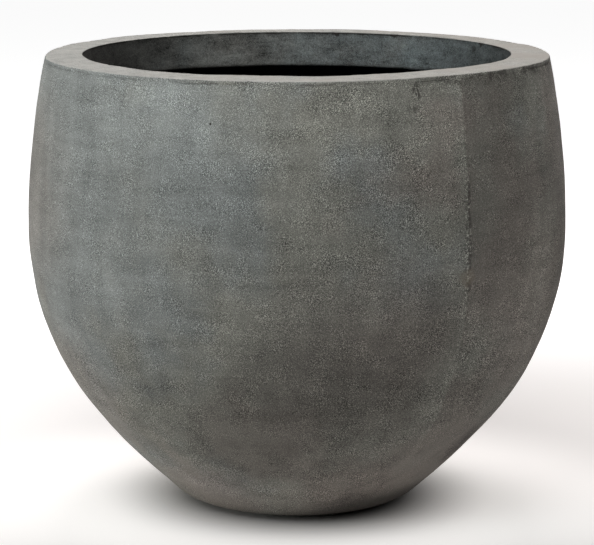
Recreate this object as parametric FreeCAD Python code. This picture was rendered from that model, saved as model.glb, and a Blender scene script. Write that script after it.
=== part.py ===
import FreeCAD, Part
import math
import os

# Ball-shaped floor planter: two moulded half shells, a turned-in rim ring, a base disc with a drain,
# inside seam strips, a rubber drain plug and four floor pads.
# Millimetres. +Z is up, the origin is on the axis at floor level, and the front seam faces -Y.

# Wall of the pot, with heights above the underside of the foot
BELLY_DIAMETER = 670.0
BELLY_HEIGHT = 341.0
BODY_HEIGHT = 561.0
RIM_TUCK = 24.0
FOOT_POINT_DIAMETER = 266.0
FOOT_LEAN = 54.0
FOOT_CORNER = 60.0
WALL = 9.0

# Foot flange turned in under the wall
FOOT_FLANGE_WIDTH = 44.0
FLANGE_EDGE_CHAMFER = 1.5

# Rim ring
RIM_WIDTH = 45.0
RIM_FALL = 1.2
RIM_THICKNESS = 10.0
RIM_LIP = 4.5
RIM_OUTER_ROUND = 2.5
RIM_INNER_ROUND = 1.8
SKIRT_DEPTH = 46.0
SKIRT_WALL = 9.0
SKIRT_DRAFT = 4.5
SKIRT_EDGE_ROUND = 3.0
UNDER_RIM_ROUND = 7.0
JOINT_CHAMFER = 0.8

# Base disc and drain
DISC_THICKNESS = 8.0
DISC_EDGE_CHAMFER = 2.0
DRAIN_DIAMETER = 30.0
DRAIN_EDGE_ROUND = 1.5

# Inside seam strips
STRIP_WIDTH = 70.0
STRIP_THICKNESS = 2.5
STRIP_LOWER_GAP = 6.0
STRIP_UPPER_GAP = 5.0

# Drain plug
PLUG_OVERLAP = 7.5
PLUG_CAP = 5.0
PLUG_CAP_ROUND = 1.8
PLUG_SHANK_LENGTH = 13.0
PLUG_TAPER = 1.2
KNOB_DIAMETER = 19.0
KNOB_NECK_DIAMETER = 12.0
KNOB_HEIGHT = 20.0
KNOB_BEAD = 8.0

# Floor pads
PAD_DIAMETER = 28.0
PAD_THICKNESS = 3.0
PAD_COUNT = 4
PAD_CHAMFER = 0.6

# Clearances
BOND_GAP = 0.3
DISC_CLEARANCE = 1.0
PLUG_CLEARANCE = 0.08

# Values that follow from the sizes
foot_z = PAD_THICKNESS
belly_r = BELLY_DIAMETER / 2
belly_z = foot_z + BELLY_HEIGHT
rim_z = foot_z + BODY_HEIGHT
rim_r = belly_r - RIM_TUCK
rim_edge_z = rim_z - RIM_FALL
mouth_r = rim_r - RIM_WIDTH
wall_top_z = rim_edge_z - RIM_LIP
flange_under_z = rim_z - RIM_THICKNESS
skirt_low_z = rim_z - SKIRT_DEPTH
disc_low_z = foot_z + WALL
disc_top_z = disc_low_z + DISC_THICKNESS
drain_r = DRAIN_DIAMETER / 2

AXIS_POINT = FreeCAD.Vector(0, 0, 0)
UP = FreeCAD.Vector(0, 0, 1)


def at(radius, height):
    """Point of a section, drawn in the parting plane on the front side."""
    return FreeCAD.Vector(0, -radius, height)


def line(start, end):
    return Part.makeLine(at(*start), at(*end))


class WallArc:
    """One arc of the wall's section, from a higher angle to a lower one, bulging outward."""

    def __init__(self, centre, radius, high, low):
        self.centre = centre
        self.radius = radius
        self.high = high
        self.low = low

    def point(self, angle, inset):
        reach = self.radius - inset
        return (self.centre[0] + reach * math.cos(angle), self.centre[1] + reach * math.sin(angle))

    def angle_at(self, height, inset):
        return math.asin((height - self.centre[1]) / (self.radius - inset))

    def edge(self, inset, high=None):
        first = self.high if high is None else high
        middle = (first + self.low) / 2
        points = [at(*self.point(a, inset)) for a in (first, middle, self.low)]
        return Part.Arc(*points).toShape()


def centre_on_normal(point, direction, join):
    """Centre of the arc that leaves point along direction and passes through join."""
    normal = (direction[1], -direction[0])
    step = (join[0] - point[0], join[1] - point[1])
    reach = (step[0] ** 2 + step[1] ** 2) / (2 * (step[0] * normal[0] + step[1] * normal[1]))
    return (point[0] + reach * normal[0], point[1] + reach * normal[1]), abs(reach)


def wall_arcs():
    """The wall's section from rim to foot: neck, belly, lower wall and foot corner, all tangent."""
    rise = rim_edge_z - belly_z
    neck_radius = (RIM_TUCK ** 2 + rise ** 2) / (2 * RIM_TUCK)
    neck = WallArc((belly_r - neck_radius, belly_z), neck_radius, math.asin(rise / neck_radius), 0.0)

    lean = math.radians(FOOT_LEAN)
    start = (belly_r, belly_z)
    end = (FOOT_POINT_DIAMETER / 2, foot_z)
    start_way = (0.0, -1.0)
    end_way = (-math.sin(lean), -math.cos(lean))
    span = (end[0] - start[0], end[1] - start[1])
    ways = (start_way[0] + end_way[0], start_way[1] + end_way[1])
    turn = 1 - (start_way[0] * end_way[0] + start_way[1] * end_way[1])
    along = span[0] * ways[0] + span[1] * ways[1]
    length_squared = span[0] ** 2 + span[1] ** 2
    reach = (math.sqrt(along ** 2 + 2 * turn * length_squared) - along) / (2 * turn)
    join = (
        (start[0] + end[0] + reach * (start_way[0] - end_way[0])) / 2,
        (start[1] + end[1] + reach * (start_way[1] - end_way[1])) / 2,
    )
    belly_centre, belly_radius = centre_on_normal(start, start_way, join)
    low_centre, low_radius = centre_on_normal(end, end_way, join)
    join_angle = math.atan2(join[1] - belly_centre[1], join[0] - belly_centre[0])
    belly = WallArc(belly_centre, belly_radius, 0.0, join_angle)

    corner_z = foot_z + FOOT_CORNER
    drop = corner_z - low_centre[1]
    corner_r = low_centre[0] + math.sqrt((low_radius - FOOT_CORNER) ** 2 - drop ** 2)
    corner_angle = math.atan2(drop, corner_r - low_centre[0])
    lower = WallArc(low_centre, low_radius, join_angle, corner_angle)
    corner = WallArc((corner_r, corner_z), FOOT_CORNER, corner_angle, -math.pi / 2)
    return [neck, belly, lower, corner]


arcs = wall_arcs()
neck_arc = arcs[0]
foot_flat_r = arcs[3].centre[0]
flange_r = foot_flat_r - FOOT_FLANGE_WIDTH
pad_ring_r = foot_flat_r - FOOT_FLANGE_WIDTH / 2
disc_r = foot_flat_r - DISC_CLEARANCE


def wall_radius(height, inset):
    """Radius of the neck's surface at a height, set in from the outside."""
    return neck_arc.point(neck_arc.angle_at(height, inset), inset)[0]


def section(edges):
    return Part.Face(Part.Wire(Part.__sortEdges__(edges)))


def polygon(points):
    corners = [at(r, z) for r, z in points]
    return Part.Face(Part.makePolygon(corners + [corners[0]]))


def turned(face, angle=360.0):
    return face.revolve(AXIS_POINT, UP, angle)


def circle_edges(solid, radius, height):
    """Edges that are circles of this radius at this height."""
    found = []
    for edge in solid.Edges:
        curve = edge.Curve
        if isinstance(curve, Part.Circle):
            if abs(curve.Radius - radius) < 0.01 and abs(curve.Center.z - height) < 0.01:
                found.append(edge)
    return found


def band(outer_inset, inner_inset, top_z, edge_cut):
    """Edges of a wall section between two insets, from top_z down to both ends of the foot corner."""
    edges = []
    for inset, cut in ((outer_inset, edge_cut), (inner_inset, 0.0)):
        for arc in arcs:
            high = None
            if arc is neck_arc:
                high = arc.angle_at(top_z - cut, inset)
            edges.append(arc.edge(inset, high))
    outer_top = neck_arc.point(neck_arc.angle_at(top_z - edge_cut, outer_inset), outer_inset)
    inner_top = neck_arc.point(neck_arc.angle_at(top_z, inner_inset), inner_inset)
    if edge_cut > 0:
        corner = (outer_top[0] - edge_cut, top_z)
        edges.append(line(outer_top, corner))
        edges.append(line(corner, inner_top))
    else:
        edges.append(line(outer_top, inner_top))
    return edges


# Half shells, butted in the parting plane
shell_edges = band(0.0, WALL, wall_top_z, JOINT_CHAMFER)
shell_edges.append(line((foot_flat_r, foot_z), (flange_r + FLANGE_EDGE_CHAMFER, foot_z)))
shell_edges.append(line((flange_r + FLANGE_EDGE_CHAMFER, foot_z), (flange_r, foot_z + FLANGE_EDGE_CHAMFER)))
shell_edges.append(line((flange_r, foot_z + FLANGE_EDGE_CHAMFER), (flange_r, foot_z + WALL)))
shell_edges.append(line((flange_r, foot_z + WALL), (foot_flat_r, foot_z + WALL)))
shell_section = section(shell_edges)
right_shell = turned(shell_section, 180.0)
left_shell = turned(shell_section, -180.0)

# Rim ring: its lip lies on the wall's top edge and its body fits inside the wall
spigot_r = wall_radius(wall_top_z, WALL) - BOND_GAP
lip_low_r = wall_radius(wall_top_z, 0.0) - JOINT_CHAMFER
lip_start_angle = neck_arc.angle_at(wall_top_z + JOINT_CHAMFER, 0.0)
lip_start = neck_arc.point(lip_start_angle, 0.0)
lip_edge = Part.Arc(
    at(*neck_arc.point(neck_arc.high, 0.0)),
    at(*neck_arc.point((neck_arc.high + lip_start_angle) / 2, 0.0)),
    at(*lip_start),
).toShape()
skirt_out_top = (mouth_r + SKIRT_WALL, flange_under_z)
skirt_slope = SKIRT_DRAFT / SKIRT_DEPTH
skirt_out_low = (mouth_r + SKIRT_WALL - skirt_slope * (flange_under_z - skirt_low_z), skirt_low_z)
skirt_in_low = (mouth_r - SKIRT_DRAFT, skirt_low_z)
rim_corners = [
    lip_start,
    (lip_low_r, wall_top_z),
    (spigot_r, wall_top_z),
    (spigot_r, flange_under_z),
    skirt_out_top,
    skirt_out_low,
    skirt_in_low,
    (mouth_r, rim_z),
    (rim_r, rim_edge_z),
]
rim_edges = [lip_edge]
for first, second in zip(rim_corners, rim_corners[1:]):
    rim_edges.append(line(first, second))
rim_ring = turned(section(rim_edges))
outer_round = min(RIM_OUTER_ROUND, 0.8 * (RIM_LIP - JOINT_CHAMFER))
skirt_round = min(SKIRT_EDGE_ROUND, 0.4 * SKIRT_WALL)
rim_ring = rim_ring.makeFillet(outer_round, circle_edges(rim_ring, rim_r, rim_edge_z))
rim_ring = rim_ring.makeFillet(RIM_INNER_ROUND, circle_edges(rim_ring, mouth_r, rim_z))
rim_ring = rim_ring.makeFillet(UNDER_RIM_ROUND, circle_edges(rim_ring, *skirt_out_top))
skirt_rims = circle_edges(rim_ring, *skirt_out_low) + circle_edges(rim_ring, *skirt_in_low)
rim_ring = rim_ring.makeFillet(skirt_round, skirt_rims).Solids[0]

# Base disc, laid on the foot flange inside
base_disc = turned(polygon([
    (drain_r, disc_low_z),
    (disc_r, disc_low_z),
    (disc_r, disc_top_z - DISC_EDGE_CHAMFER),
    (disc_r - DISC_EDGE_CHAMFER, disc_top_z),
    (drain_r, disc_top_z),
]))
base_disc = base_disc.makeFillet(DRAIN_EDGE_ROUND, circle_edges(base_disc, drain_r, disc_low_z)).Solids[0]

# Seam strips, following the wall inside from above the base disc to below the rim
strip_low_z = disc_top_z + STRIP_LOWER_GAP
strip_top_z = flange_under_z - STRIP_UPPER_GAP
strip_edges = band(WALL + BOND_GAP, WALL + BOND_GAP + STRIP_THICKNESS, strip_top_z, 0.0)
strip_foot_z = foot_z + WALL + BOND_GAP
strip_edges.append(line((foot_flat_r, strip_foot_z), (foot_flat_r, strip_foot_z + STRIP_THICKNESS)))
strip_sweep = turned(section(strip_edges), 90.0).rotate(AXIS_POINT, UP, -45.0)
strip_slab = Part.makeBox(
    STRIP_WIDTH,
    belly_r,
    strip_top_z - strip_low_z,
    FreeCAD.Vector(-STRIP_WIDTH / 2, -belly_r, strip_low_z),
)
front_seam_strip = strip_sweep.common(strip_slab).Solids[0]
back_seam_strip = front_seam_strip.rotated(AXIS_POINT, UP, 180.0)

# Drain plug: cap on the disc, tapered shank through it, and a knob to pull it by
shank_r = drain_r - PLUG_CLEARANCE
shank_low_z = disc_top_z - PLUG_SHANK_LENGTH
cap_r = drain_r + PLUG_OVERLAP
cap_top_z = disc_top_z + PLUG_CAP
knob_top_z = cap_top_z + KNOB_HEIGHT
knob_r = KNOB_DIAMETER / 2
neck_r = KNOB_NECK_DIAMETER / 2
bead_low_z = knob_top_z - KNOB_BEAD
drain_plug = turned(polygon([
    (0, shank_low_z),
    (shank_r - PLUG_TAPER, shank_low_z),
    (shank_r, disc_low_z + DRAIN_EDGE_ROUND),
    (shank_r, disc_top_z),
    (cap_r, disc_top_z),
    (cap_r, cap_top_z),
    (neck_r, cap_top_z),
    (neck_r, bead_low_z - (knob_r - neck_r)),
    (knob_r, bead_low_z),
    (knob_r, knob_top_z),
    (0, knob_top_z),
]))
cap_round = min(PLUG_CAP_ROUND, 0.4 * PLUG_CAP)
drain_plug = drain_plug.makeFillet(cap_round, circle_edges(drain_plug, cap_r, cap_top_z))
drain_plug = drain_plug.makeFillet(0.4 * KNOB_BEAD, circle_edges(drain_plug, knob_r, knob_top_z)).Solids[0]

# Floor pads, evenly round the foot and clear of the seams
pads = []
for index in range(PAD_COUNT):
    pad = Part.makeCylinder(PAD_DIAMETER / 2, PAD_THICKNESS)
    pad = pad.makeChamfer(PAD_CHAMFER, circle_edges(pad, PAD_DIAMETER / 2, 0.0))
    turn = math.radians(360.0 * (index + 0.5) / PAD_COUNT)
    pad.translate(FreeCAD.Vector(pad_ring_r * math.cos(turn), pad_ring_r * math.sin(turn), 0))
    pads.append(pad)
floor_pads = Part.makeCompound(pads)

# One file for each piece
os.makedirs("parts", exist_ok=True)
left_shell.exportStep("parts/left_shell.step")
right_shell.exportStep("parts/right_shell.step")
rim_ring.exportStep("parts/rim_ring.step")
base_disc.exportStep("parts/base_disc.step")
front_seam_strip.exportStep("parts/front_seam_strip.step")
back_seam_strip.exportStep("parts/back_seam_strip.step")
drain_plug.exportStep("parts/drain_plug.step")
floor_pads.exportStep("parts/floor_pads.step")

pieces = {
    "left_shell": left_shell,
    "right_shell": right_shell,
    "rim_ring": rim_ring,
    "base_disc": base_disc,
    "front_seam_strip": front_seam_strip,
    "back_seam_strip": back_seam_strip,
    "drain_plug": drain_plug,
    "floor_pads": floor_pads,
}
for name, shape in pieces.items():
    print(name, len(shape.Solids), "solids,", round(shape.Volume / 1000, 1), "cm3, valid", shape.isValid())
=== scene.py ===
# %% [markdown]
# # A ball-shaped floor cachepot
# The pot is hand-laid fibre clay: stone powder and glass fibre set in a split mould.
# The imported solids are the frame. Each piece below is a surface worked out with numpy in that frame,
# a little less perfect than the solid it stands for, as a hand-finished pot is.

# %% Load the frame
import math

import bpy
import numpy as np
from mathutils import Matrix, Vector


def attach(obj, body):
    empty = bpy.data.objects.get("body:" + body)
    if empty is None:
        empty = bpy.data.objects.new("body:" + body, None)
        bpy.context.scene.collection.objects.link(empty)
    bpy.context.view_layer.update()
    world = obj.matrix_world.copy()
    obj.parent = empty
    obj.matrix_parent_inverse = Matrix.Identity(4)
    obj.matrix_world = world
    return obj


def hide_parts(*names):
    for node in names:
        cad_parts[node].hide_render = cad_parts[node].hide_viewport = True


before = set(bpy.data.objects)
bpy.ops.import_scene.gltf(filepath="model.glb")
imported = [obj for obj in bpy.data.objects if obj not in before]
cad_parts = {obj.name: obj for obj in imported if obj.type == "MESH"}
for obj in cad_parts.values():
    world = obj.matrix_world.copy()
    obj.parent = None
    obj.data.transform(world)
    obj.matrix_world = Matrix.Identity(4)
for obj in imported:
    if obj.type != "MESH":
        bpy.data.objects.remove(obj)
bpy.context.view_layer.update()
print("nodes:", sorted(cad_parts))

# %% [markdown]
# ## Sizes
# A script for looks can't read the source of the solids, so it repeats the sizes that it needs, in metres.
# The names are the same, which makes a change easy to carry over.

# %% Sizes in metres
BELLY_R = 0.335
BELLY_HEIGHT = 0.341
BODY_HEIGHT = 0.561
RIM_TUCK = 0.024
FOOT_POINT_R = 0.133
FOOT_LEAN = math.radians(54.0)
FOOT_CORNER = 0.060
WALL = 0.009
FOOT_FLANGE_WIDTH = 0.044
FLANGE_EDGE_CHAMFER = 0.0015
RIM_WIDTH = 0.045
RIM_FALL = 0.0012
RIM_THICKNESS = 0.010
RIM_LIP = 0.0045
SKIRT_DEPTH = 0.046
SKIRT_WALL = 0.009
SKIRT_DRAFT = 0.0045
DISC_THICKNESS = 0.008
DRAIN_R = 0.015
STRIP_WIDTH = 0.070
STRIP_THICKNESS = 0.0025
BOND_GAP = 0.0003
FOOT_Z = 0.003
BELLY_Z = FOOT_Z + BELLY_HEIGHT
RIM_Z = FOOT_Z + BODY_HEIGHT
RIM_R = BELLY_R - RIM_TUCK
RIM_EDGE_Z = RIM_Z - RIM_FALL
MOUTH_R = RIM_R - RIM_WIDTH
WALL_TOP_Z = RIM_EDGE_Z - RIM_LIP
DISC_LOW_Z = FOOT_Z + WALL
DISC_TOP_Z = DISC_LOW_Z + DISC_THICKNESS
print("pot:", 2 * BELLY_R, "m across,", RIM_Z, "m high")

# %% [markdown]
# ## The wall's section
# Seen from the side, the wall is four arcs that meet smoothly: neck, belly, lower wall and foot corner.
# A spline through sampled points would also do, but arcs give the exact shape from a few sizes,
# and an arc moved inward by the wall's thickness is the same arc with a smaller radius.


# %% Arcs of the wall
def centre_on_normal(point, way, join):
    """Centre and radius of the arc that leaves point along way and passes through join."""
    normal = np.array([way[1], -way[0]])
    step = join - point
    reach = step @ step / (2 * (step @ normal))
    return point + reach * normal, abs(reach)


def wall_arcs():
    """Arcs as (centre, radius, high angle, low angle), from rim to foot, each tangent to the next."""
    rise = RIM_EDGE_Z - BELLY_Z
    neck_radius = (RIM_TUCK**2 + rise**2) / (2 * RIM_TUCK)
    neck_centre = np.array([BELLY_R - neck_radius, BELLY_Z])
    start = np.array([BELLY_R, BELLY_Z])
    end = np.array([FOOT_POINT_R, FOOT_Z])
    start_way = np.array([0.0, -1.0])
    end_way = np.array([-math.sin(FOOT_LEAN), -math.cos(FOOT_LEAN)])
    span = end - start
    turn = 1 - start_way @ end_way
    along = span @ (start_way + end_way)
    reach = (math.sqrt(along**2 + 2 * turn * (span @ span)) - along) / (2 * turn)
    join = (start + end + reach * (start_way - end_way)) / 2
    belly_centre, belly_radius = centre_on_normal(start, start_way, join)
    low_centre, low_radius = centre_on_normal(end, end_way, join)
    join_angle = math.atan2(*(join - belly_centre)[::-1])
    drop = FOOT_Z + FOOT_CORNER - low_centre[1]
    corner_r = low_centre[0] + math.sqrt((low_radius - FOOT_CORNER) ** 2 - drop**2)
    corner_centre = np.array([corner_r, FOOT_Z + FOOT_CORNER])
    corner_angle = math.atan2(drop, corner_r - low_centre[0])
    return [
        (neck_centre, neck_radius, math.asin(rise / neck_radius), 0.0),
        (belly_centre, belly_radius, 0.0, join_angle),
        (low_centre, low_radius, join_angle, corner_angle),
        (corner_centre, FOOT_CORNER, corner_angle, -math.pi / 2),
    ]


ARCS = wall_arcs()
FOOT_FLAT_R = ARCS[3][0][0]
FLANGE_R = FOOT_FLAT_R - FOOT_FLANGE_WIDTH
print("flat of the foot begins", round(FOOT_FLAT_R, 4), "m from the axis")


# %% Points along the wall
def wall_line(inset, top_z):
    """Fine line of (radius, height) down the wall, set in by inset, from top_z to the flat of the foot."""
    pieces = []
    for number, (centre, radius, high, low) in enumerate(ARCS):
        reach = radius - inset
        first = math.asin((top_z - centre[1]) / reach) if number == 0 else high
        angle = np.linspace(first, low, 400)[:, None]
        pieces.append(centre + reach * np.hstack([np.cos(angle), np.sin(angle)]))
    return np.concatenate(pieces)


def lengths_along(line):
    """Distance travelled along a line of points, starting at 0."""
    return np.concatenate([[0.0], np.cumsum(np.linalg.norm(np.diff(line, axis=0), axis=1))])


def spread(length, count, density):
    """count positions from 0 to length, closer together where density(position) is larger."""
    fine = np.linspace(0.0, length, 4001)
    total = np.concatenate([[0.0], np.cumsum((density(fine[1:]) + density(fine[:-1])) / 2)])
    return np.interp(np.linspace(0.0, total[-1], count), total, fine)


def resample(line, positions):
    """Points of a line at the given distances along it."""
    travelled = lengths_along(line)
    return np.stack([np.interp(positions, travelled, line[:, k]) for k in range(2)], axis=1)


print("belly arc", round(ARCS[1][1], 4), "m, lower arc", round(ARCS[2][1], 4), "m")

# %% [markdown]
# ## From arrays to meshes
# A surface here is an array of points, and faces are arrays of point numbers.
# Writing both with foreach_set is far quicker than adding faces one by one in bmesh.
# The signed volume tells whether the faces look outward, so a mirrored half can be turned the right way.


# %% Mesh helpers
def grid_faces(rows, columns, wrap_rows, wrap_columns):
    """Quads between neighbours on a grid of points numbered row by row."""
    i = np.arange(rows if wrap_rows else rows - 1)[:, None]
    j = np.arange(columns if wrap_columns else columns - 1)[None, :]
    below, beside = (i + 1) % rows, (j + 1) % columns
    corners = (i * columns + j, i * columns + beside, below * columns + beside, below * columns + j)
    return np.stack(np.broadcast_arrays(*corners), axis=-1).reshape(-1, 4)


def signed_volume(points, faces):
    """Sum of the volumes of the cones from the origin to each face, positive when faces look outward."""
    total = 0.0
    for block in faces:
        first = points[block[:, 0]]
        for k in range(1, block.shape[1] - 1):
            turn = np.cross(points[block[:, k]], points[block[:, k + 1]])
            total += np.einsum("ij,ij->", first, turn) / 6
    return total


def new_piece(name, points, faces, sharp=math.radians(50), slots=None, uv=None):
    """A smooth-shaded object from points and blocks of faces, all turned to look outward."""
    if signed_volume(points, faces) < 0:
        faces = [block[:, ::-1] for block in faces]
    sizes = np.concatenate([np.full(len(block), block.shape[1]) for block in faces])
    corners = np.concatenate([block.ravel() for block in faces]).astype(np.int32)
    mesh = bpy.data.meshes.new(name)
    mesh.vertices.add(len(points))
    mesh.vertices.foreach_set("co", points.astype(np.float32).ravel())
    mesh.loops.add(len(corners))
    mesh.loops.foreach_set("vertex_index", corners)
    mesh.polygons.add(len(sizes))
    mesh.polygons.foreach_set("loop_start", (np.cumsum(sizes) - sizes).astype(np.int32))
    if slots is not None:
        mesh.polygons.foreach_set("material_index", slots.astype(np.int32))
    mesh.update(calc_edges=True)
    if uv is not None:
        layer = mesh.uv_layers.new(name="lay")
        layer.data.foreach_set("uv", uv[corners].astype(np.float32).ravel())
    mesh.polygons.foreach_set("use_smooth", np.ones(len(sizes), bool))
    mesh.set_sharp_from_angle(angle=sharp)
    mesh.validate()
    piece = bpy.data.objects.new(name, mesh)
    bpy.context.scene.collection.objects.link(piece)
    print(name, len(points), "points,", int((sizes - 2).sum()), "triangles")
    return piece


# %% [markdown]
# ## Hand-finished unevenness
# No part of a hand-laid pot is exactly round. A few dozen waves in random directions, added up,
# give a soft swell of a chosen length at any point in space. Because it depends on place alone,
# two pieces that meet get the same swell at their joint. Dents and chips are smooth bowls at chosen points.


# %% Swell and chips
def swell(points, wavelength, seed, waves=40):
    """Sum of plane waves of about this wavelength in random directions, with a spread of about 1."""
    draw = np.random.default_rng(seed)
    ways = draw.normal(size=(waves, 3))
    ways /= np.linalg.norm(ways, axis=1)[:, None]
    rates = 2 * math.pi / wavelength * draw.uniform(0.7, 1.3, waves)
    phases = draw.uniform(0, 2 * math.pi, waves)
    total = np.zeros(len(points))
    for way, rate, phase in zip(ways, rates, phases):
        total += np.cos(rate * (points @ way) + phase)
    return total / math.sqrt(waves / 2)


def bowls(points, centres, radii, depths):
    """Depth at each point of smooth bowls, each falling from its depth to nothing at its radius."""
    total = np.zeros(len(points))
    for centre, radius, depth in zip(centres, radii, depths):
        share = np.sum((points - centre) ** 2, axis=1) / radius**2
        total += depth * np.clip(1 - share, 0, None) ** 2
    return total


def outside_swell(points):
    """How far the finished outside stands off the true form: long, middling and short swells, in metres."""
    long_swell = 0.00032 * swell(points, 0.16, 11)
    middle_swell = 0.00014 * swell(points, 0.06, 12)
    short_swell = 0.00005 * swell(points, 0.018, 13)
    return long_swell + middle_swell + short_swell


def fade(low, high, value):
    """Smooth step from 0 at low to 1 at high."""
    share = np.clip((value - low) / (high - low), 0, 1)
    return share * share * (3 - 2 * share)


def hump(value, centre, reach):
    """Smooth hump of height 1 at centre: e to the power of minus the square of (distance over reach)."""
    return np.exp(-(((value - centre) / reach) ** 2))


def joint_depth(points):
    """Depth of the open stretches of the bond line under the rim, which filler closes elsewhere."""
    bearing = np.stack([points[:, 0], points[:, 1], 0 * points[:, 2]], axis=1)
    return 0.0009 * fade(-0.1, 1.0, swell(bearing, 0.14, 21) + 0.7 * swell(bearing, 0.035, 22))


belly_side = np.array([[BELLY_R, 0.0, BELLY_Z], [-BELLY_R, 0.0, BELLY_Z]])
print("swell at both sides of the belly:", (1000 * outside_swell(belly_side)).round(2), "mm")

# %% [markdown]
# ## The view
# The photograph looks from about ten degrees above, with the parting seam right of the middle.
# Directions toward the camera and to its right are worked out once, for the camera, the lights,
# and the few marks that are placed as the photograph shows them.

# %% Directions of the view
VIEW_AZIMUTH = math.radians(-36.6)
TOWARD = np.array([math.sin(VIEW_AZIMUTH), -math.cos(VIEW_AZIMUTH), 0.0])
RIGHTWARD = np.array([math.cos(VIEW_AZIMUTH), math.sin(VIEW_AZIMUTH), 0.0])
UPWARD = np.array([0.0, 0.0, 1.0])


def place(toward, rightward, up):
    """A point given by its distances toward the camera, to the right and up, in metres."""
    return toward * TOWARD + rightward * RIGHTWARD + up * UPWARD


def on_ring(radius, height, degrees_right):
    """A point on a ring, by its bearing to the right of the side that faces the camera."""
    turn = math.radians(degrees_right)
    return place(radius * math.cos(turn), radius * math.sin(turn), height)


def on_wall(height, degrees_right):
    """A point on the outside of the wall, by its height and its bearing to the right."""
    radius, level = wall_line(0.0, WALL_TOP_Z)[::-1].T
    return on_ring(np.interp(height, level, radius), height, degrees_right)


print("front seam is", round(math.degrees(-VIEW_AZIMUTH), 1), "degrees right of the view")

# %% [markdown]
# ## Fullness and lift
# A hand-laid wall doesn't keep to its arcs. This one is fuller in four soft rings, on one side more
# than on the other, and its mouth is raised a little at the front right. Both depend on place alone,
# so pieces that meet move together. A lattice could bend the pot as well, but wouldn't read as a formula.

# %% Fullness and lift
# Each ring: its height, its reach, its fullness all round and what is added toward the right, in metres.
FULL_RINGS = (
    (0.550, 0.060, 0.0008, 0.0006),
    (0.400, 0.080, 0.0008, -0.0002),
    (0.145, 0.042, 0.0019, 0.0007),
    (0.014, 0.011, 0.0021, -0.0005),
)
MOUTH_LIFT = 0.0017
LIFT_BEGINS, LIFT_FULL = 0.05, 0.17
LIFT_FROM_Z, LIFT_FULL_Z = 0.40, 0.51


def hand_fullness(points):
    """How far the outside stands out beyond the true arcs, in metres: the sum of the rings' humps,
    each with a share that grows to the right of the view."""
    to_right = points @ RIGHTWARD / np.hypot(points[:, 0], points[:, 1])
    total = np.zeros(len(points))
    for height, reach, all_round, more_right in FULL_RINGS:
        total += (all_round + more_right * to_right) * hump(points[:, 2], height, reach)
    return total


def lifted(points):
    """Points raised where the mouth isn't quite level, at its front right: fully near the top,
    less down the neck and not at all below it."""
    share = fade(LIFT_BEGINS, LIFT_FULL, points @ RIGHTWARD) * fade(LIFT_BEGINS, LIFT_FULL, points @ TOWARD)
    share *= fade(LIFT_FROM_Z, LIFT_FULL_Z, points[:, 2])
    return points + MOUTH_LIFT * share[:, None] * UPWARD


front_line = np.array([on_wall(height, 0.0) for height in np.linspace(FOOT_Z, WALL_TOP_Z, 50)])
print("fullest at the front:", round(1000 * hand_fullness(front_line).max(), 2), "mm")

# %% [markdown]
# ## The half walls
# The ball is wider at its belly than at its mouth, so it is laid up in two halves and joined along the seam.
# Each half is one closed grid: down the outside, in under the foot, up the inside and over the top edge,
# swept half a turn. Rows lie closer at the top joint and columns closer at the seam,
# so that the fine bond lines are true shape. A revolved curve with a Screw modifier would be quicker
# to set up, but couldn't carry the swell, the fullness, the dents and the seam.

# %% Grid of a half wall
OUT_ROWS, IN_ROWS, TURN_COLUMNS = 217, 73, 330
CLOSE_ROWS, CLOSE_COLUMNS = 0.004, 0.03
GROOVE_DEPTH, GROOVE_REACH = 0.0005, 0.0012
FILLER_HEIGHT, FILLER_REACH = 0.0003, 0.011
JOINT_REACH = 0.0011
DENT_COUNT = 34


def wall_section():
    """Points of the outside from top to foot and of the inside from top to foot, as (radius, height)."""
    outer_line = np.concatenate([
        wall_line(0.0, WALL_TOP_Z),
        [[FLANGE_R + FLANGE_EDGE_CHAMFER, FOOT_Z], [FLANGE_R, FOOT_Z + FLANGE_EDGE_CHAMFER]],
    ])
    inner_line = np.concatenate([wall_line(WALL, WALL_TOP_Z), [[FLANGE_R, FOOT_Z + WALL]]])
    outer_length, inner_length = lengths_along(outer_line)[-1], lengths_along(inner_line)[-1]

    def near_ends(s):
        """Density of rows: ten times as close at the top, two and a half times at the foot flange's edge."""
        return 1 + 9 * hump(s, 0.0, CLOSE_ROWS) + 1.5 * hump(s, outer_length, CLOSE_ROWS)

    outer = resample(outer_line, spread(outer_length, OUT_ROWS, near_ends))
    inner = resample(inner_line, np.linspace(0, inner_length, IN_ROWS))
    return outer, inner


def near_seams(turn):
    """Density of columns over half a turn: five times as close at both seams."""
    return 1 + 4 * hump(turn, 0.0, CLOSE_COLUMNS) + 4 * hump(turn, math.pi, CLOSE_COLUMNS)


def wall_faces():
    """Quads round the closed section, then the two rows of cap faces that close the seams' sides."""
    total = OUT_ROWS + IN_ROWS
    sides = grid_faces(total, TURN_COLUMNS, True, False)
    step = (OUT_ROWS - 1) // (IN_ROWS - 1)
    k = np.arange(IN_ROWS - 1)[:, None]
    ring = np.hstack([step * k + np.arange(step + 1)[None], total - 2 - k, total - 1 - k])
    caps = np.concatenate([ring[:, ::-1] * TURN_COLUMNS, ring * TURN_COLUMNS + TURN_COLUMNS - 1])
    row_of_face = np.repeat(np.arange(total), TURN_COLUMNS - 1)
    inside = (row_of_face >= OUT_ROWS) & (row_of_face < total - 1)
    return [sides, caps], np.concatenate([inside, np.zeros(len(caps))])


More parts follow.
